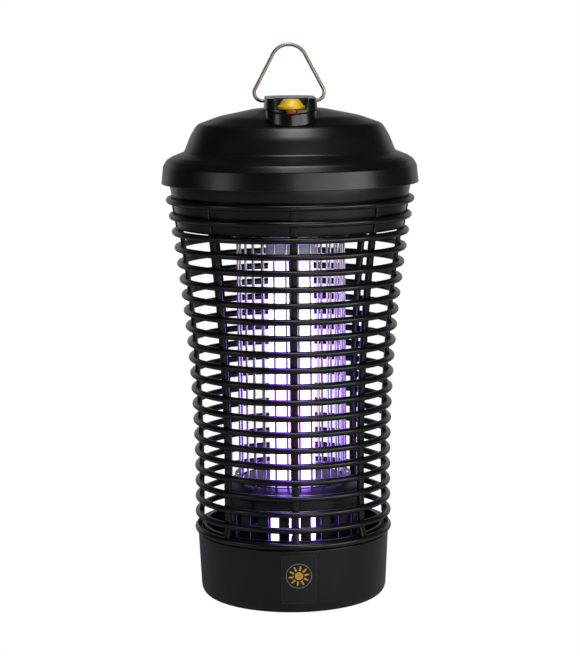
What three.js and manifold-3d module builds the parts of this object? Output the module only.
// Electric bug zapper: a hanging lantern with a ribbed cage, a twin-tube lamp inside a wire grid,
// a housing under a round lid, a wire bail, a push button and a twist-off tray.
// Millimetres, +Z up. The origin is on the floor under the middle of the tray; the front faces -Y.

import * as THREE from 'three';
import { mergeVertices } from 'three/addons/utils/BufferGeometryUtils.js';
import Module from 'manifold-3d';

const wasm = await Module();
wasm.setup();

// ---------------------------------------------------------------- driving dimensions

const clearance = 0.3;            // gap left between any two touching pieces
const coarse = 24;                // segments round a large turned piece
const smooth = 48;                // segments where one large piece turns inside another
const lidSegments = 32;
const fine = 16;                  // segments round a small turned piece
const holeSegments = 10;
const turn = Math.PI * 2;

// cage
const ringCount = 22;
const ringPitch = 13.6;
const ringWire = 3;               // half the thickness of a ring
const bottomRingZ = 59.2;
const waistZ = 100.95;
const waistRadius = 82.06;
const flare = 3.382e-4;           // how the ring radius grows with the square of the height above the waist
const flareCubic = 0.92e-7;
const ribCount = 8;
const ribWidth = 6;
const ribDepth = 4;
const ribSetback = 1;             // how far the ribs' outer faces lie inside the rings' centre line at the waist
const ribSetbackGain = 0.0105;    // and how much further in for each millimetre up
const bandHeight = 37;
const bandWall = 2.5;
const bandRibDepth = 1.4;         // how far the ribs stand out from the band
const flangeThickness = 2.5;

// lid
const lidOverhang = 6.71;         // how far the lid's edge stands out from the top of the cage band
const lidWall = 2.5;
const lidLift = 1.2;              // lid's lower edge above the top of the cage band
const lidCrownRise = 65.2;        // lid's lower edge to the middle of its crown

// hub and bail
const hubHalfWidth = 23.2;        // at the foot of the hub
const hubTopHalfWidth = 21.1;
const hubRise = 7.9;              // hub top above the crown's middle
const hubFrontY = -79.3;
const hubBackY = 30;
const hubWall = 2.5;
const notchSideGap = 0.45;        // between the button and the notch's sides at the sill
const notchFlare = 3.5;           // how much wider the notch is at the top of the hub
const notchDepth = 8.5;
const wireRadius = 1.5;           // bail wire
const bailRise = 48.9;            // pivot axis to the top of the bail
const bailFootHalf = 31.3;        // half width outside the lower bends
const bailPivotDrop = 3.8;        // pivot axis below the hub's top
const bailTopRadius = 17;
const bailFootRadius = 7;

// push button and indicator
const buttonRadius = 11.8;
const buttonSetback = 7.5;        // front of the button behind the front of the hub
const buttonWall = 1.6;
const buttonRise = 8.1;           // button top above the sill
const buttonTravel = 2;
const stemRadius = 3;
const springWire = 0.5;
const springRadius = 5.6;
const springTurns = 4;
const lensWidth = 7.7;
const lensHeight = 3.7;

// tray
const trayWall = 2.5;
const trayFloor = 3;
const trayTaper = 2.7;            // how much narrower the tray is at its foot
const trayCorner = 12;
const traySeam = 3.7;             // tray's upper edge below the lowest ring's centre line
const spigotHeight = 7.5;
const lugCount = 3;
const lugWidth = 8;
const lugHeight = 2.2;
const lockTurn = 18;              // degrees between locked and free
const plateWidth = 29.5;
const plateHeight = 42;
const plateThickness = 1;
const plateFootZ = 10;
const plateTurn = 1.6;            // degrees the plate sits off the front when the tray is locked

// grid, dish and lamp
const rodCount = 28;
const rodRadius = 1;
const gridRadius = 46;
const hoopOffset = 3.4;           // hoops lie this far outside the rods
const hoopWire = 1.2;
const dishMargin = 14;            // dish wall outside the circle of rods
const dishWall = 2.5;
const dishFloorZ = 101;
const dishFloorThickness = 3.5;
const dishFall = 4.5;             // how far the dish slopes down from the rods to its edge
const skirtDrop = 52.5;
const slotCount = 20;
const slotWidth = 9.8;
const slotDrop = 11;              // top of the slots below the dish's edge
const grooveDepth = 2;
const grooveSlack = 0.75;         // either side of the rods, which stand in a ring-shaped groove
const tubeRadius = 8.75;
const tubeGap = 4;
const lampTipZ = 38;
const lampBaseHeight = 10;

// housing floor and what stands on it
const chassisThickness = 3;
const insulatorHeight = 5.4;
const screwRadius = 1.5;
const screwHeadRadius = 3.2;
const screwHeadHeight = 2.2;
const glandRadius = 5.5;

// ---------------------------------------------------------------- derived places

const topRingZ = bottomRingZ + (ringCount - 1) * ringPitch;
const ringRadius = (z) => {
  const rise = z - waistZ;
  return waistRadius + flare * rise * rise + flareCubic * rise * rise * rise;
};
const trayTopRadius = ringRadius(bottomRingZ) + 0.36;
const trayFootRadius = trayTopRadius - trayTaper;
const bandTopZ = topRingZ + 12.8;
const bandFootZ = bandTopZ - bandHeight;
const bandOuter = (z) => ringRadius(z) - 2.7;
const lidRadius = bandOuter(bandTopZ) + lidOverhang;
const flangeInner = lidRadius - 25.9;
const flangeZ = bandTopZ + lidLift + 0.5;
const flangeTopZ = flangeZ + flangeThickness;
const lidZ = bandTopZ + lidLift;
const crownZ = lidZ + lidCrownRise;
const hubTopZ = crownZ + hubRise;
const pivotZ = hubTopZ - bailPivotDrop;
const sillZ = hubTopZ - notchDepth;
const notchSillWidth = 2 * (buttonRadius + notchSideGap);
const notchTopWidth = notchSillWidth + notchFlare;
const buttonY = hubFrontY + buttonSetback + buttonRadius;
const notchBackY = buttonY + buttonRadius + 3.2;
const buttonTopZ = sillZ + buttonRise;
const ledgeZ = sillZ - 3.4;
const ledgeThickness = 2;
const trayTopZ = bottomRingZ - traySeam;
const chassisTopZ = bandFootZ + 5;
const chassisZ = chassisTopZ - chassisThickness;
const chassisRadius = bandOuter(bandFootZ) - bandWall - clearance;
const insulatorZ = chassisZ - clearance - insulatorHeight;
const rodTopZ = insulatorZ + insulatorHeight - 2;
const rodFootZ = dishFloorZ - grooveDepth + clearance;
const lampTopZ = insulatorZ - 20;
const tubeSpacing = 2 * tubeRadius + tubeGap;
const lampBaseWidth = tubeSpacing + 2 * tubeRadius + 4.5;
const lampBaseDepth = 2 * tubeRadius + 6.5;
const dishRadius = gridRadius + dishMargin;
const deckZ = chassisTopZ + clearance;

// ---------------------------------------------------------------- helpers

function toSolid(geometry) {
  const bare = geometry.index ? geometry.toNonIndexed() : geometry.clone();
  bare.deleteAttribute('normal');
  bare.deleteAttribute('uv');
  const merged = mergeVertices(bare, 1e-4);
  const mesh = new wasm.Mesh({
    numProp: 3,
    vertProperties: new Float32Array(merged.attributes.position.array),
    triVerts: new Uint32Array(merged.index.array),
  });
  return new wasm.Manifold(mesh);
}

function toGeometry(solid) {
  const mesh = solid.getMesh();
  const geometry = new THREE.BufferGeometry();
  geometry.setAttribute('position', new THREE.BufferAttribute(mesh.vertProperties, 3));
  geometry.setIndex(new THREE.BufferAttribute(mesh.triVerts, 1));
  geometry.computeVertexNormals();
  return geometry;
}

// A closed ring or disc turned about Z from (radius, z) points that run anticlockwise.
function turned(points, segments = coarse) {
  const profile = points.map(([radius, z]) => new THREE.Vector2(radius, z));
  const onAxis = profile[0].x === 0 && profile[profile.length - 1].x === 0;
  if (!onAxis) profile.push(profile[0].clone());
  return new THREE.LatheGeometry(profile, segments).rotateX(Math.PI / 2);
}

function cylinder(radius, zLow, zHigh, x = 0, y = 0, segments = fine) {
  const geometry = new THREE.CylinderGeometry(radius, radius, zHigh - zLow, segments);
  return geometry.rotateX(Math.PI / 2).translate(x, y, (zLow + zHigh) / 2);
}

function box(xLow, xHigh, yLow, yHigh, zLow, zHigh) {
  const geometry = new THREE.BoxGeometry(xHigh - xLow, yHigh - yLow, zHigh - zLow);
  return geometry.translate((xLow + xHigh) / 2, (yLow + yHigh) / 2, (zLow + zHigh) / 2);
}

function extruded(shape, zLow, zHigh, curveSegments = 8) {
  const geometry = new THREE.ExtrudeGeometry(shape, {
    depth: zHigh - zLow,
    bevelEnabled: false,
    curveSegments,
  });
  return geometry.translate(0, 0, zLow);
}

function roundedRectangle(width, depth, corner) {
  const shape = new THREE.Shape();
  const x = width / 2;
  const y = depth / 2;
  shape.moveTo(x - corner, -y);
  shape.absarc(x - corner, -y + corner, corner, -Math.PI / 2, 0);
  shape.absarc(x - corner, y - corner, corner, 0, Math.PI / 2);
  shape.absarc(-x + corner, y - corner, corner, Math.PI / 2, Math.PI);
  shape.absarc(-x + corner, -y + corner, corner, Math.PI, Math.PI * 1.5);
  return shape;
}

function tubeAlong(points, radius, steps, sides = 8) {
  const section = new THREE.Shape();
  section.absarc(0, 0, radius, 0, turn);
  const curve = new THREE.CatmullRomCurve3(points, false, 'centripetal');
  return new THREE.ExtrudeGeometry(section, {
    steps,
    extrudePath: curve,
    bevelEnabled: false,
    curveSegments: sides / 2,
  });
}

// A wedge of a disc between two angles in degrees.
function sector(radius, fromDegrees, toDegrees, zLow, zHigh) {
  const shape = new THREE.Shape();
  const from = THREE.MathUtils.degToRad(fromDegrees);
  const to = THREE.MathUtils.degToRad(toDegrees);
  shape.moveTo(0, 0);
  shape.lineTo(radius * Math.cos(from), radius * Math.sin(from));
  shape.lineTo(radius * Math.cos((from + to) / 2) * 1.02, radius * Math.sin((from + to) / 2) * 1.02);
  shape.lineTo(radius * Math.cos(to), radius * Math.sin(to));
  shape.closePath();
  return extruded(shape, zLow, zHigh);
}

function joined(geometries) {
  return geometries.map(toSolid).reduce((whole, next) => whole.add(next));
}

function evenly(count, place, phase = 0) {
  return Array.from({ length: count }, (_, index) => place(phase + (index * turn) / count, index));
}

const zapper = new THREE.Group();

function addPart(name, geometry, [color, roughness, metalness]) {
  const material = new THREE.MeshStandardMaterial({ color, roughness, metalness });
  const mesh = new THREE.Mesh(geometry, material);
  mesh.name = name;
  zapper.add(mesh);
  return mesh;
}

const blackPlastic = [0x17181a, 0.45, 0];
const lidPlastic = [0x1b1c1e, 0.38, 0];
const palePlastic = [0xd9dee6, 0.5, 0];
const cream = [0xcfc8b4, 0.55, 0];
const steel = [0xb9b4aa, 0.35, 1];
const zinc = [0xa8a49a, 0.45, 1];
const copper = [0xb06a3c, 0.4, 1];
const brass = [0xc09a4a, 0.35, 1];
const lampGlass = [0xd9cffa, 0.1, 0];
const yellow = [0xf6c722, 0.4, 0];
const red = [0xb84a3a, 0.3, 0];
const plateBlack = [0x101112, 0.3, 0];
const boardGreen = [0x2d5b3c, 0.6, 0];

// A pan-head screw that points up, with its head under zSeat.
function screw(name, x, y, zSeat, length) {
  const profile = [
    [0, zSeat - clearance - screwHeadHeight],
    [screwHeadRadius * 0.7, zSeat - clearance - screwHeadHeight],
    [screwHeadRadius, zSeat - clearance - screwHeadHeight * 0.5],
    [screwHeadRadius, zSeat - clearance],
    [screwRadius, zSeat - clearance],
    [screwRadius, zSeat + length - 1],
    [0, zSeat + length],
  ];
  const geometry = turned(profile, 8);
  const slot = box(-screwHeadRadius - 1, screwHeadRadius + 1, -0.4, 0.4, profile[0][1] - 1, profile[0][1] + 0.8);
  const body = toSolid(geometry).subtract(toSolid(slot));
  addPart(name, toGeometry(body).translate(x, y, 0), zinc);
}

const screwHoleRadius = screwRadius + clearance;

// ---------------------------------------------------------------- lid

// Outer face of the lid from its lower edge to the crown, as height above the lower edge.
function lidOuter(lift = 0) {
  const outline = [
    [lidRadius, 0],
    [lidRadius - 0.7, 7.7],
    [lidRadius - 1.8, 12.8],
    [lidRadius - 3.7, 18],
    [lidRadius - 10.3, 23.1],
    [lidRadius - 17.4, 26],
    [lidRadius - 20.3, 28.4],
    [lidRadius - 24.3, 38.4],
    [lidRadius - 26.9, 43.5],
    [lidRadius - 30.4, 48.6],
    [lidRadius - 36.1, 52],
    [lidRadius - 49.5, 56.3],
    [lidRadius - 78.5, 62.2],
    [0, lidCrownRise],
  ];
  return outline.map(([radius, rise]) => [radius, lidZ + rise + lift]);
}

const coverScrewRadius = lidRadius - 15.9;
const coverScrewAngles = evenly(4, (angle) => angle, Math.PI / 4);
const hubScrewYs = [18, -22];
const switchWidth = 14;
const switchTopZ = ledgeZ - 11;
const switchHeight = 13;
const bracketWall = 1.6;
const glandZ = lidZ + 10.5;

function buildLid() {
  const outer = lidOuter();
  const inner = outer.map(([radius, z]) => [Math.max(radius - lidWall, 0), z - (radius < 100 ? lidWall : 0)]);
  inner[0][1] = lidZ - 1;
  const shell = toSolid(turned([[0, lidZ], ...outer], lidSegments));
  const hollow = toSolid(turned([[0, lidZ - 1], ...inner], lidSegments));
  let lid = shell.subtract(hollow);
  for (const angle of coverScrewAngles) {
    const x = coverScrewRadius * Math.cos(angle);
    const y = coverScrewRadius * Math.sin(angle);
    const boss = toSolid(cylinder(4.5, flangeTopZ + clearance, lidZ + 22.7, x, y, 12));
    lid = lid.add(boss.intersect(shell));
    lid = lid.subtract(toSolid(cylinder(screwHoleRadius, lidZ, lidZ + 18, x, y, holeSegments)));
  }
  for (const side of [-1, 1]) {
    const near = switchWidth / 2 + clearance;
    const wall = box(near, near + bracketWall, -7, 7, switchTopZ - 9, crownZ);
    wall.translate(side < 0 ? -2 * near - bracketWall : 0, buttonY, 0);
    lid = lid.add(toSolid(wall).intersect(shell));
  }
  for (const y of hubScrewYs) {
    lid = lid.subtract(toSolid(cylinder(screwHoleRadius, crownZ - 12, crownZ + 5, 0, y, holeSegments)));
  }
  lid = lid.subtract(toSolid(cylinder(stemRadius + 1, lidZ + 40, crownZ + 5, 0, buttonY)));
  const inlet = new THREE.CylinderGeometry(glandRadius, glandRadius, 20, fine).translate(0, lidRadius, glandZ);
  return lid.subtract(toSolid(inlet));
}
addPart('top_cover', toGeometry(buildLid()), lidPlastic);

// The mains inlet: a bush in the back of the lid, open right through for a cord.
function buildGland() {
  const bush = glandRadius - clearance;
  const bore = 3.1;
  const profile = [
    [bore, -8],
    [bush, -8],
    [bush, -0.4],
    [bush, -0.1],
    [bore, -0.1],
  ];
  return turned(profile, fine).rotateX(-Math.PI / 2).translate(0, lidRadius, glandZ);
}
addPart('cord_gland', buildGland(), blackPlastic);

// ---------------------------------------------------------------- hub with its notch

// A stadium that narrows as it rises, from a cone at each end and a trapezoid between them.
function stadium(halfLow, halfHigh, zLow, zHigh, yFront, yBack) {
  const height = zHigh - zLow;
  const cone = () => {
    const geometry = new THREE.CylinderGeometry(halfHigh, halfLow, height, coarse);
    return geometry.rotateX(Math.PI / 2);
  };
  const front = cone().translate(0, yFront + halfLow, zLow + height / 2);
  const back = cone().translate(0, yBack - halfLow, zLow + height / 2);
  const trapezoid = new THREE.Shape();
  trapezoid.moveTo(-halfLow, zLow);
  trapezoid.lineTo(halfLow, zLow);
  trapezoid.lineTo(halfHigh, zHigh);
  trapezoid.lineTo(-halfHigh, zHigh);
  trapezoid.closePath();
  const length = yBack - yFront - 2 * halfLow;
  const middle = extruded(trapezoid, 0, length).rotateX(Math.PI / 2).translate(0, yBack - halfLow, 0);
  return joined([front, back, middle]);
}

const hubFootZ = crownZ - 17;
const lensZ = sillZ - 0.3 - lensHeight / 2;
const lensFrontY = hubFrontY + 1.4;

function buildHub() {
  const outer = stadium(hubHalfWidth, hubTopHalfWidth, hubFootZ, hubTopZ, hubFrontY, hubBackY);
  const inset = hubWall;
  const cavity = stadium(
    hubHalfWidth - inset,
    hubTopHalfWidth - inset,
    hubFootZ - 1,
    hubTopZ - hubWall,
    hubFrontY + inset,
    hubBackY - inset,
  );
  let hub = outer.subtract(cavity);
  const nose = toSolid(box(-40, 40, hubFrontY - 5, notchBackY + hubWall, ledgeZ - ledgeThickness, hubTopZ));
  hub = hub.add(nose.intersect(outer));
  const notch = new THREE.Shape();
  const flareOut = (notchTopWidth - notchSillWidth) / 2 / notchDepth;
  notch.moveTo(-notchSillWidth / 2, sillZ);
  notch.lineTo(notchSillWidth / 2, sillZ);
  notch.lineTo(notchTopWidth / 2 + flareOut * 5, hubTopZ + 5);
  notch.lineTo(-notchTopWidth / 2 - flareOut * 5, hubTopZ + 5);
  notch.closePath();
  const notchLength = notchBackY - hubFrontY + 5;
  hub = hub.subtract(toSolid(extruded(notch, 0, notchLength).rotateX(Math.PI / 2).translate(0, notchBackY, 0)));
  hub = hub.subtract(toSolid(cylinder(buttonRadius + clearance, ledgeZ, hubTopZ + 1, 0, buttonY, 24)));
  hub = hub.subtract(toSolid(cylinder(stemRadius + clearance, hubFootZ, hubTopZ, 0, buttonY)));
  for (const y of hubScrewYs) {
    hub = hub.add(toSolid(cylinder(4, hubFootZ, hubTopZ - 1, 0, y)));
    hub = hub.subtract(toSolid(cylinder(screwHoleRadius, hubFootZ, hubTopZ - 2.6, 0, y, holeSegments)));
  }
  const pivotBore = new THREE.CylinderGeometry(wireRadius + clearance, wireRadius + clearance, 60, fine);
  hub = hub.subtract(toSolid(pivotBore.rotateZ(Math.PI / 2).translate(0, 0, pivotZ)));
  const lensPocket = lensBlock(clearance, lensFrontY - 3, lensFrontY + 2.4 + clearance);
  hub = hub.subtract(toSolid(lensPocket));
  const diodeBore = cylinder(1.4 + clearance, 0, 8, 0, 0, 12).rotateX(-Math.PI / 2);
  hub = hub.subtract(toSolid(diodeBore.translate(0, lensFrontY + 2, lensZ)));
  const underside = toSolid(turned([[0, lidZ - 60], [lidRadius, lidZ - 60], ...lidOuter(clearance * 2)], lidSegments));
  return hub.subtract(underside);
}

// The red indicator window is a rounded bar along Y; grow widens it for its pocket.
function lensBlock(grow, yLow, yHigh) {
  const shape = roundedRectangle(lensWidth + 2 * grow, lensHeight + 2 * grow, 1.4 + grow);
  return extruded(shape, 0, yHigh - yLow, 3).rotateX(Math.PI / 2).translate(0, yHigh, lensZ);
}

addPart('hanger_hub', toGeometry(buildHub()), blackPlastic);
addPart('indicator_lens', lensBlock(0, lensFrontY, lensFrontY + 2.4), red);
const diode = cylinder(1.4, 0, 2, 0, 0, 12).rotateX(-Math.PI / 2).translate(0, lensFrontY + 2.4 + clearance, lensZ);
addPart('indicator_diode', diode, red);

for (const [index, y] of hubScrewYs.entries()) {
  screw(`hub_screw_${index + 1}`, 0, y, crownZ - 5.2, 10);
}

// ---------------------------------------------------------------- bail

// Right half of the wire's centre line in the XZ plane, from the hub to the top.
function bailHalf() {
  const footX = bailFootHalf - wireRadius - bailFootRadius;
  const lean = THREE.MathUtils.degToRad(22);
  const points = [
    new THREE.Vector2(hubTopHalfWidth - 4.5, 0),
    new THREE.Vector2(footX, 0),
  ];
  const footArc = 4;
  for (let step = 1; step <= footArc; step += 1) {
    const angle = -Math.PI / 2 + (step / footArc) * (Math.PI / 2 + lean);
    const x = footX + bailFootRadius * Math.cos(angle);
    const z = bailFootRadius + bailFootRadius * Math.sin(angle);
    points.push(new THREE.Vector2(x, z));
  }
  const arc = bailTopRadius - wireRadius;
  const centre = bailRise - wireRadius - arc;
  const topArc = 6;
  for (let step = 0; step < topArc; step += 1) {
    const angle = lean + (step / topArc) * (Math.PI / 2 - lean);
    points.push(new THREE.Vector2(arc * Math.cos(angle), centre + arc * Math.sin(angle)));
  }
  return points;
}

function buildBail() {
  const right = bailHalf();
  const left = right.map((point) => new THREE.Vector2(-point.x, point.y)).reverse();
  const top = new THREE.Vector2(0, bailRise - wireRadius);
  const route = [...right, top, ...left].map((point) => new THREE.Vector3(point.x, 0, pivotZ + point.y));
  return tubeAlong(route, wireRadius, 48);
}
addPart('hanging_bail', buildBail(), steel);

// ---------------------------------------------------------------- push button, spring and switch

const springFootZ = ledgeZ + clearance;
const springTopZ = buttonTopZ - buttonWall - 0.6 - clearance;

function buildButton() {
  const outer = [
    [0, ledgeZ + 2.4],
    [buttonRadius, ledgeZ + 2.4],
    [buttonRadius, sillZ + 2],
    [buttonRadius - 1.2, sillZ + 2.3],
    [buttonRadius - 1.9, sillZ + 4.6],
    [buttonRadius - 3.6, sillZ + 6.8],
    [buttonRadius - 6.4, sillZ + 7.8],
    [0, buttonTopZ],
  ];
  const hollow = cylinder(buttonRadius - 3.8, ledgeZ, springTopZ + clearance, 0, 0, 24);
  const stemFootZ = switchTopZ + buttonTravel + clearance;
  const stem = cylinder(stemRadius, stemFootZ, springTopZ + 1, 0, 0);
  const cap = toSolid(turned(outer, 24)).subtract(toSolid(hollow));
  return toGeometry(cap.add(toSolid(stem))).translate(0, buttonY, 0);
}
addPart('push_button', buildButton(), yellow);

function buildSpring() {
  const low = springFootZ + springWire;
  const rise = springTopZ - springFootZ - 2 * springWire;
  const steps = springTurns * 12;
  const points = Array.from({ length: steps + 1 }, (_, step) => {
    const angle = (step / 12) * turn;
    const x = springRadius * Math.cos(angle);
    const y = springRadius * Math.sin(angle);
    return new THREE.Vector3(x, buttonY + y, low + (rise * step) / steps);
  });
  return tubeAlong(points, springWire, steps, 4);
}
addPart('button_spring', buildSpring(), steel);

const switchBody = box(-switchWidth / 2, switchWidth / 2, -6, 6, switchTopZ - switchHeight, switchTopZ);
addPart('power_switch', switchBody.translate(0, buttonY, 0), blackPlastic);

// ---------------------------------------------------------------- cage

function buildRib(angle) {
  const steps = 8;
  const low = trayTopZ + clearance + 0.2;
  const outer = [];
  const inner = [];
  for (let step = 0; step <= steps; step += 1) {
    const z = low + ((chassisZ - 2 * clearance - low) * step) / steps;
    const setback = ribSetback + ribSetbackGain * Math.max(z - waistZ, 0);
    const radius = ringRadius(z) - setback;
    outer.push([radius, z]);
    inner.push([radius - ribDepth, z]);
  }
  const shape = new THREE.Shape([...outer, ...inner.reverse()].map(([r, z]) => new THREE.Vector2(r, z)));
  const rib = extruded(shape, -ribWidth / 2, ribWidth / 2).rotateX(Math.PI / 2);
  return rib.rotateZ(angle);
}

// The ribs go on as low bars up the face of the band, as far as the top ring.
function buildBandRib(angle) {
  const levels = [bandFootZ + 0.5, (bandFootZ + topRingZ) / 2, topRingZ];
  const outer = levels.map((z) => new THREE.Vector2(bandOuter(z) + bandRibDepth, z));
  const inner = levels.map((z) => new THREE.Vector2(bandOuter(z) - bandWall / 2, z)).reverse();
  const bar = extruded(new THREE.Shape([...outer, ...inner]), -ribWidth / 2, ribWidth / 2);
  return bar.rotateX(Math.PI / 2).rotateZ(angle);
}

const collarOuter = ringRadius(bottomRingZ) - 0.6;
const collarInner = collarOuter - 3;
const spigotOuter = collarInner - clearance;
const spigotInner = spigotOuter - trayWall;
const lugZ = trayTopZ + 1.6;
const lugAngles = Array.from({ length: lugCount }, (_, index) => 90 + (index * 360) / lugCount);

const chassisScrewRadius = chassisRadius - 6.85;
const chassisScrewAngles = evenly(4, (angle) => angle, Math.PI / 8);

// Each ring has a three-sided section with its edge inwards, where the ribs pass through it.
// The rings are turned by half a facet, so that each rib meets the middle of one.
const halfFacet = turn / coarse / 2;

function buildCage() {
  const bandProfile = [
    [bandOuter(bandFootZ) - bandWall, bandFootZ],
    [bandOuter(bandFootZ), bandFootZ],
    [bandOuter(bandFootZ + 12), bandFootZ + 12],
    [bandOuter(bandFootZ + 25), bandFootZ + 25],
    [bandOuter(bandTopZ), bandTopZ],
    [bandOuter(bandTopZ), flangeZ],
    [lidRadius - lidWall - 0.9, flangeZ],
    [lidRadius - lidWall - 0.9, flangeTopZ],
    [flangeInner, flangeTopZ],
    [flangeInner, flangeZ],
    [bandOuter(bandTopZ) - bandWall, flangeZ],
    [bandOuter(bandTopZ) - bandWall, bandTopZ],
    [bandOuter(bandFootZ + 25) - bandWall, bandFootZ + 25],
    [bandOuter(bandFootZ + 12) - bandWall, bandFootZ + 12],
  ];
  let cage = toSolid(turned(bandProfile));
  for (const angle of evenly(ribCount, (angle) => angle)) {
    cage = cage.add(toSolid(buildRib(angle))).add(toSolid(buildBandRib(angle)));
  }
  for (let index = 0; index < ringCount; index += 1) {
    const z = bottomRingZ + index * ringPitch;
    const radius = ringRadius(z);
    const section = [
      [radius - ringWire - 0.6, z],
      [radius + ringWire - 0.8, z - ringWire + 0.2],
      [radius + ringWire - 0.8, z + ringWire - 0.2],
    ];
    cage = cage.add(toSolid(turned(section).rotateZ(halfFacet)));
  }
  const collar = [
    [collarInner, trayTopZ + clearance],
    [collarOuter, trayTopZ + clearance],
    [collarOuter, bottomRingZ + 1],
    [collarInner, bottomRingZ + 1],
  ];
  const spigotRoom = cylinder(collarInner, 0, trayTopZ + spigotHeight + 2 * clearance, 0, 0, smooth);
  cage = cage.add(toSolid(turned(collar, smooth))).subtract(toSolid(spigotRoom));
  for (const degrees of lugAngles) {
    const lug = box(spigotInner - 0.4, collarInner + 1.2, -lugWidth / 2, lugWidth / 2, lugZ, lugZ + lugHeight);
    cage = cage.add(toSolid(lug.rotateZ(THREE.MathUtils.degToRad(degrees))));
  }
  for (const angle of chassisScrewAngles) {
    const lugOuter = bandOuter(deckZ) - bandWall + 1;
    const lug = box(chassisScrewRadius - 4, lugOuter, -4, 4, deckZ, deckZ + 9).rotateZ(angle);
    cage = cage.add(toSolid(lug));
    const x = chassisScrewRadius * Math.cos(angle);
    const y = chassisScrewRadius * Math.sin(angle);
    cage = cage.subtract(toSolid(cylinder(screwHoleRadius, deckZ - 1, deckZ + 10, x, y, holeSegments)));
  }
  for (const angle of coverScrewAngles) {
    const x = coverScrewRadius * Math.cos(angle);
    const y = coverScrewRadius * Math.sin(angle);
    cage = cage.subtract(toSolid(cylinder(screwHoleRadius, flangeZ - 1, flangeTopZ + 1, x, y, holeSegments)));
  }
  return cage;
}
addPart('cage', toGeometry(buildCage()), blackPlastic);

for (const [index, angle] of coverScrewAngles.entries()) {
  const x = coverScrewRadius * Math.cos(angle);
  const y = coverScrewRadius * Math.sin(angle);
  screw(`cover_screw_${index + 1}`, x, y, flangeZ, 15);
}

// ---------------------------------------------------------------- housing floor

const holderWidth = lampBaseWidth + 3;
const holderDepth = lampBaseDepth + 3;
const holderFlange = 3;
const holderScrewX = holderWidth / 2 + 7;
const studXs = [-gridRadius, gridRadius];
const studRadius = 2;

function buildChassis() {
  let plate = toSolid(cylinder(chassisRadius, chassisZ, chassisTopZ, 0, 0, coarse));
  const opening = roundedRectangle(holderWidth + 2 * clearance, holderDepth + 2 * clearance, 5);
  plate = plate.subtract(toSolid(extruded(opening, chassisZ - 1, chassisTopZ + 1, 2)));
  for (const angle of chassisScrewAngles) {
    const x = chassisScrewRadius * Math.cos(angle);
    const y = chassisScrewRadius * Math.sin(angle);
    plate = plate.subtract(toSolid(cylinder(screwHoleRadius, chassisZ - 1, chassisTopZ + 1, x, y, holeSegments)));
  }
  for (const side of [-1, 1]) {
    const hole = cylinder(screwHoleRadius, chassisZ - 1, chassisTopZ + 1, side * holderScrewX, 0, holeSegments);
    plate = plate.subtract(toSolid(hole));
  }
  for (const x of studXs) {
    plate = plate.subtract(toSolid(cylinder(studRadius + clearance, chassisZ - 1, chassisTopZ + 1, x, 0)));
  }
  return plate;
}
addPart('chassis_plate', toGeometry(buildChassis()), blackPlastic);

for (const [index, angle] of chassisScrewAngles.entries()) {
  const x = chassisScrewRadius * Math.cos(angle);
  const y = chassisScrewRadius * Math.sin(angle);
  screw(`chassis_screw_${index + 1}`, x, y, chassisZ, 11);
}

// The lampholder drops through the floor and rests on its flange.
function buildHolder() {
  const outline = roundedRectangle(holderWidth, holderDepth, 5);
  const body = extruded(outline, lampTopZ + lampBaseHeight + clearance, deckZ + 1, 2);
  const flange = roundedRectangle(holderWidth + 24, holderDepth, 5);
  let holder = joined([body, extruded(flange, deckZ, deckZ + holderFlange, 2)]);
  for (const side of [-1, 1]) {
    const hole = cylinder(screwHoleRadius, deckZ - 1, deckZ + holderFlange + 1, side * holderScrewX, 0, holeSegments);
    holder = holder.subtract(toSolid(hole));
  }
  for (const x of studXs) {
    const gap = cylinder(studRadius + 2, deckZ - 1, deckZ + holderFlange + 1, x, 0, 12);
    holder = holder.subtract(toSolid(gap));
  }
  return holder;
}
addPart('lampholder', toGeometry(buildHolder()), palePlastic);

for (const [index, side] of [-1, 1].entries()) {
  screw(`lampholder_screw_${index + 1}`, side * holderScrewX, 0, chassisZ, 5.5);
}

// ---------------------------------------------------------------- grid, insulator and dish

function buildInsulator() {
  const halfWidth = 7;
  const grooveHalf = rodRadius + grooveSlack;
  const profile = [
    [gridRadius - halfWidth, insulatorZ],
    [gridRadius - grooveHalf, insulatorZ],
    [gridRadius - grooveHalf, rodTopZ + clearance],
    [gridRadius + grooveHalf, rodTopZ + clearance],
    [gridRadius + grooveHalf, insulatorZ],
    [gridRadius + halfWidth, insulatorZ],
    [gridRadius + halfWidth, insulatorZ + insulatorHeight],
    [gridRadius - halfWidth, insulatorZ + insulatorHeight],
  ];
  let ring = toSolid(turned(profile));
  for (const x of studXs) {
    ring = ring.subtract(toSolid(cylinder(studRadius + clearance, rodTopZ, chassisZ, x, 0)));
  }
  for (const side of [-1, 1]) {
    const relief = cylinder(screwHeadRadius + 1, insulatorZ - 1, chassisZ, side * holderScrewX, 0, holeSegments);
    ring = ring.subtract(toSolid(relief));
  }
  return ring;
}

// One electrode: every second rod, tied by a hoop outside the rods through short stubs.
function buildElectrode(hoopZ, phase) {
  const pieces = [];
  const hoopRadius = gridRadius + hoopOffset;
  const hoop = new THREE.TorusGeometry(hoopRadius, hoopWire, 4, rodCount).translate(0, 0, hoopZ);
  pieces.push(hoop);
  for (const angle of evenly(rodCount / 2, (angle) => angle, phase)) {
    const x = gridRadius * Math.cos(angle);
    const y = gridRadius * Math.sin(angle);
    pieces.push(cylinder(rodRadius, rodFootZ, rodTopZ, x, y, 6));
    const stub = new THREE.CylinderGeometry(rodRadius * 0.8, rodRadius * 0.8, hoopOffset, 4);
    pieces.push(stub.rotateZ(Math.PI / 2).translate(gridRadius + hoopOffset / 2, 0, hoopZ).rotateZ(angle));
  }
  return joined(pieces);
}

const hoopInset = 5;
const electrodePhase = turn / rodCount / 2;

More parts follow.
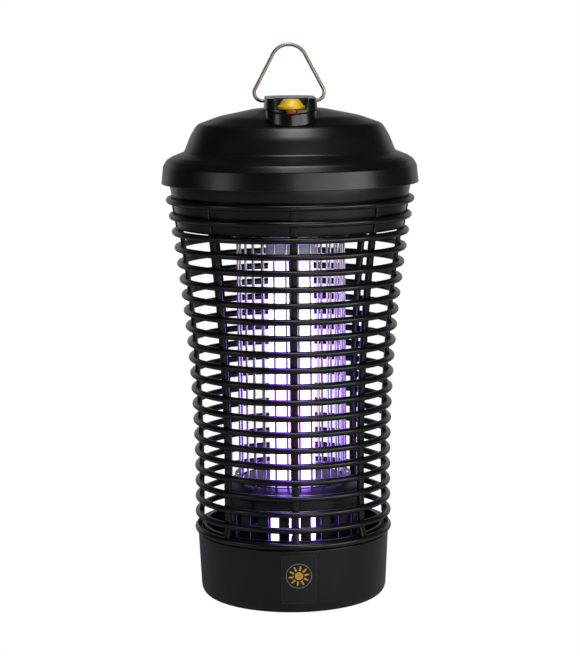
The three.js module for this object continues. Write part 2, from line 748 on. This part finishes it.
addPart('top_insulator', toGeometry(buildInsulator()), blackPlastic);
const upperElectrode = buildElectrode(insulatorZ - hoopInset + 2, electrodePhase);
addPart('upper_electrode', toGeometry(upperElectrode), steel);
const lowerElectrode = buildElectrode(dishFloorZ + hoopInset - 1, electrodePhase + turn / rodCount);
addPart('lower_electrode', toGeometry(lowerElectrode), steel);

function buildDish() {
  const grooveHalf = rodRadius + grooveSlack;
  const floorUnder = dishFloorZ - dishFloorThickness;
  const skirtFoot = floorUnder - skirtDrop;
  const mouth = tubeSpacing / 2 + tubeRadius + 1.5;
  const profile = [
    [mouth, floorUnder],
    [gridRadius, floorUnder],
    [dishRadius - dishWall, floorUnder - dishFall],
    [dishRadius - dishWall, skirtFoot],
    [dishRadius, skirtFoot],
    [dishRadius, dishFloorZ - dishFall - 1],
    [dishRadius - 1, dishFloorZ - dishFall],
    [gridRadius + grooveHalf, dishFloorZ],
    [gridRadius + grooveHalf, dishFloorZ - grooveDepth],
    [gridRadius - grooveHalf, dishFloorZ - grooveDepth],
    [gridRadius - grooveHalf, dishFloorZ],
    [mouth, dishFloorZ],
  ];
  let dish = toSolid(turned(profile));
  const slotTop = floorUnder - dishFall - slotDrop;
  for (const angle of evenly(slotCount, (angle) => angle)) {
    const slot = box(dishRadius - 8, dishRadius + 4, -slotWidth / 2, slotWidth / 2, skirtFoot + 3, slotTop);
    dish = dish.subtract(toSolid(slot.rotateZ(angle)));
  }
  return dish;
}
addPart('grid_dish', toGeometry(buildDish()), blackPlastic);

// ---------------------------------------------------------------- lamp

function buildTubes() {
  const profile = [[0, lampTipZ]];
  const roundSteps = 4;
  for (let step = 1; step <= roundSteps; step += 1) {
    const angle = (step / roundSteps) * (Math.PI / 2);
    profile.push([tubeRadius * Math.sin(angle), lampTipZ + tubeRadius * (1 - Math.cos(angle))]);
  }
  profile.push([tubeRadius, lampTopZ - clearance]);
  profile.push([0, lampTopZ - clearance]);
  const tubes = [-1, 1].map((side) => turned(profile, fine).translate((side * tubeSpacing) / 2, 0, 0));
  const bridge = new THREE.CylinderGeometry(3.5, 3.5, tubeSpacing, 10).rotateZ(Math.PI / 2);
  return joined([...tubes, bridge.translate(0, 0, lampTipZ + 14)]);
}
addPart('uv_lamp_tubes', toGeometry(buildTubes()), lampGlass);

const lampBase = extruded(
  roundedRectangle(lampBaseWidth, lampBaseDepth, 8),
  lampTopZ,
  lampTopZ + lampBaseHeight,
  4,
);
addPart('uv_lamp_base', lampBase, palePlastic);

// ---------------------------------------------------------------- electrical pieces on the floor

// A laminated core with a window each side of its middle limb, and the coil wound on that limb.
function addWound(prefix, x, y, width, depth, height) {
  const limb = width / 4;
  const yoke = height / 5;
  const core = toSolid(box(-width / 2, width / 2, -depth / 2, depth / 2, 0, height));
  const window = (side) => {
    const near = limb / 2;
    const far = width / 2 - limb / 2;
    const [low, high] = side < 0 ? [-far, -near] : [near, far];
    return toSolid(box(low, high, -depth, depth, yoke, height - yoke));
  };
  const frame = core.subtract(window(-1)).subtract(window(1));
  addPart(`${prefix}_core`, toGeometry(frame).translate(x, y, deckZ), zinc);
  const reach = width / 2 - limb / 2 - clearance;
  const swell = depth / 2 + reach - limb / 2;
  const coilFoot = yoke + clearance;
  const coilTop = height - yoke - clearance;
  const coil = toSolid(extruded(roundedRectangle(2 * reach, 2 * swell, 3), coilFoot, coilTop, 2));
  const eyeHalf = limb / 2 + clearance;
  const eye = toSolid(box(-eyeHalf, eyeHalf, -depth / 2 - clearance, depth / 2 + clearance, 0, height));
  addPart(`${prefix}_coil`, toGeometry(coil.subtract(eye)).translate(x, y, deckZ), copper);
}
addWound('ballast', -44, 38, 40, 22, 34);
addWound('hv_transformer', 44, 38, 36, 18, 30);

const boardX = 40;
const boardY = -40;
const boardWidth = 46;
const boardDepth = 30;
const boardLift = 5;
const boardThickness = 1.6;
const board = box(-boardWidth / 2, boardWidth / 2, -boardDepth / 2, boardDepth / 2, 0, boardThickness);
addPart('doubler_board', board.translate(boardX, boardY, deckZ + boardLift), boardGreen);
const boardTop = deckZ + boardLift + boardThickness + clearance;
for (const [index, x] of [boardX - 12, boardX + 12].entries()) {
  addPart(`hv_capacitor_${index + 1}`, cylinder(5, boardTop, boardTop + 13, x, boardY), brass);
}
for (const [index, x] of [boardX - 18, boardX + 18].entries()) {
  addPart(`board_post_${index + 1}`, cylinder(3, deckZ, deckZ + boardLift - clearance, x, boardY, 10), cream);
}
addPart('lamp_starter', cylinder(10.5, deckZ, deckZ + 34, -46, -38), palePlastic);
addPart('terminal_block', box(-18, 18, 58, 72, deckZ, deckZ + 14), cream);

// Feed-through studs carry the grid's two poles through the floor; a lead runs to each from the transformer.
const studTopZ = deckZ + 12;
for (const [index, x] of studXs.entries()) {
  addPart(`hv_stud_${index + 1}`, cylinder(studRadius, rodTopZ + 0.6, studTopZ, x, 0, 12), brass);
}
const leadStartY = 19;
function buildLead(fromX, toX, rise) {
  const route = [
    [fromX, leadStartY, deckZ + 18],
    [fromX * 0.97, leadStartY - 5, deckZ + rise],
    [(fromX + toX) / 2, 6, deckZ + rise + 4],
    [toX, 0.5, deckZ + rise],
    [toX, 0, studTopZ + clearance],
  ];
  return tubeAlong(route.map(([x, y, z]) => new THREE.Vector3(x, y, z)), 1, 14, 6);
}
addPart('hv_lead_1', buildLead(38, -gridRadius, 44), red);
addPart('hv_lead_2', buildLead(50, gridRadius, 26), red);

// ---------------------------------------------------------------- tray with its emblem plate

function trayOuter(grow = 0) {
  const points = [];
  const steps = 4;
  for (let step = 0; step <= steps; step += 1) {
    const angle = (step / steps) * (Math.PI / 2);
    const radius = trayFootRadius - trayCorner * (1 - Math.sin(angle));
    points.push([radius + grow, trayCorner * (1 - Math.cos(angle))]);
  }
  points.push([trayTopRadius + grow, trayTopZ]);
  return points;
}

function buildTray() {
  const outer = trayOuter();
  const profile = [
    [0, 0],
    ...outer,
    [spigotInner, trayTopZ],
    [trayTopRadius - trayWall - 1.2, trayTopZ - 8],
    [trayFootRadius - trayWall - 0.6, trayCorner + 2],
    [trayFootRadius - trayWall - 4, trayFloor + 4],
    [trayFootRadius - trayCorner, trayFloor],
    [0, trayFloor],
  ];
  const spigot = [
    [spigotInner, trayTopZ - 2],
    [spigotOuter, trayTopZ - 2],
    [spigotOuter, trayTopZ + spigotHeight],
    [spigotInner, trayTopZ + spigotHeight],
  ];
  let tray = toSolid(turned(profile, lidSegments)).add(toSolid(turned(spigot, smooth)));
  const legReach = trayTopRadius + 7;
  const slack = (lugWidth / 2 + 0.8) / spigotOuter;
  const half = THREE.MathUtils.radToDeg(slack);
  for (const degrees of lugAngles) {
    const legZ = lugZ - 0.5;
    const leg = sector(legReach, degrees - lockTurn - half, degrees + half, legZ, lugZ + lugHeight + 0.5);
    const entry = sector(legReach, degrees - lockTurn - half, degrees - lockTurn + half, legZ, trayTopZ + 20);
    tray = tray.subtract(toSolid(leg)).subtract(toSolid(entry));
  }
  return tray;
}
addPart('collection_tray', toGeometry(buildTray()), blackPlastic);

function buildPlate() {
  const far = trayOuter(clearance + plateThickness);
  const near = trayOuter(clearance).reverse();
  const wall = toSolid(turned([...far, ...near], 80));
  const halfWidth = plateWidth / 2;
  const frontY = -trayTopRadius - 10;
  const cut = box(-halfWidth, halfWidth, frontY, -trayFootRadius / 2, plateFootZ, plateFootZ + plateHeight);
  return wall.intersect(toSolid(cut)).rotate([0, 0, plateTurn]);
}
addPart('emblem_plate', toGeometry(buildPlate()), plateBlack);

export default zapper;
